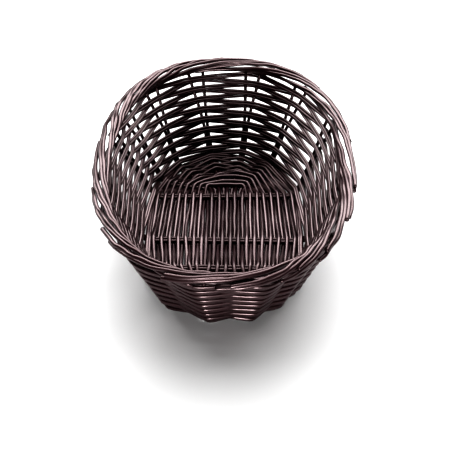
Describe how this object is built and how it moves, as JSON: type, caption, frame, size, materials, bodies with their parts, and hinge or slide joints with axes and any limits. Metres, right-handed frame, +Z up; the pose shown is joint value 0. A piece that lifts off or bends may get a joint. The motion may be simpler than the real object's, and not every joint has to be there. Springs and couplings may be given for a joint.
{
  "type": "woven oval basket",
  "caption": "Oval open basket of glossy dark round strands, woven in and out of paired stakes, with flared sides and a rolled border.",
  "frame": {"origin": "on the surface it stands on, under the middle of the basket", "axes": "+Z up, +Y along the basket's length, +X across it"},
  "size_m": [0.1629, 0.2384, 0.068],
  "materials": {
    "stakes": "glossy extruded round polypropylene strand, near black brown",
    "weavers": "glossy extruded round polypropylene strand, dark brown",
    "border": "glossy extruded round polypropylene strand, dark brown"
  },
  "bodies": {
    "root": {"cross_stakes_01": "stakes", "cross_stakes_02": "stakes", "cross_stakes_03": "stakes", "long_stakes_01": "stakes", "long_stakes_02": "stakes", "long_stakes_03": "stakes", "long_stakes_04": "stakes", "long_stakes_05": "stakes", "floor_row_01": "weavers", "floor_row_02": "weavers", "floor_row_03": "weavers", "floor_row_04": "weavers", "floor_row_05": "weavers", "floor_row_06": "weavers", "floor_row_07": "weavers", "floor_row_08": "weavers", "floor_row_09": "weavers", "floor_row_10": "weavers", "floor_row_11": "weavers", "floor_row_12": "weavers", "floor_row_13": "weavers", "floor_row_14": "weavers", "wall_row_01": "weavers", "wall_row_02": "weavers", "wall_row_03": "weavers", "wall_row_04": "weavers", "wall_row_05": "weavers", "wall_row_06": "weavers", "wall_row_07": "weavers", "wall_row_08": "weavers", "wall_row_09": "weavers", "wall_row_10": "weavers", "wall_row_11": "weavers", "wall_row_12": "weavers", "wall_row_13": "weavers", "wall_row_14": "weavers", "wall_row_15": "weavers", "wall_row_16": "weavers", "wall_row_17": "weavers", "border_strand_01": "border", "border_strand_02": "border", "border_strand_03": "border", "border_strand_04": "border", "border_strand_05": "border", "border_strand_06": "border", "border_strand_07": "border", "border_strand_08": "border", "border_strand_09": "border", "border_strand_10": "border", "border_strand_11": "border", "border_strand_12": "border", "border_strand_13": "border", "border_strand_14": "border", "border_strand_15": "border", "border_strand_16": "border"}
  },
  "joints": []
}
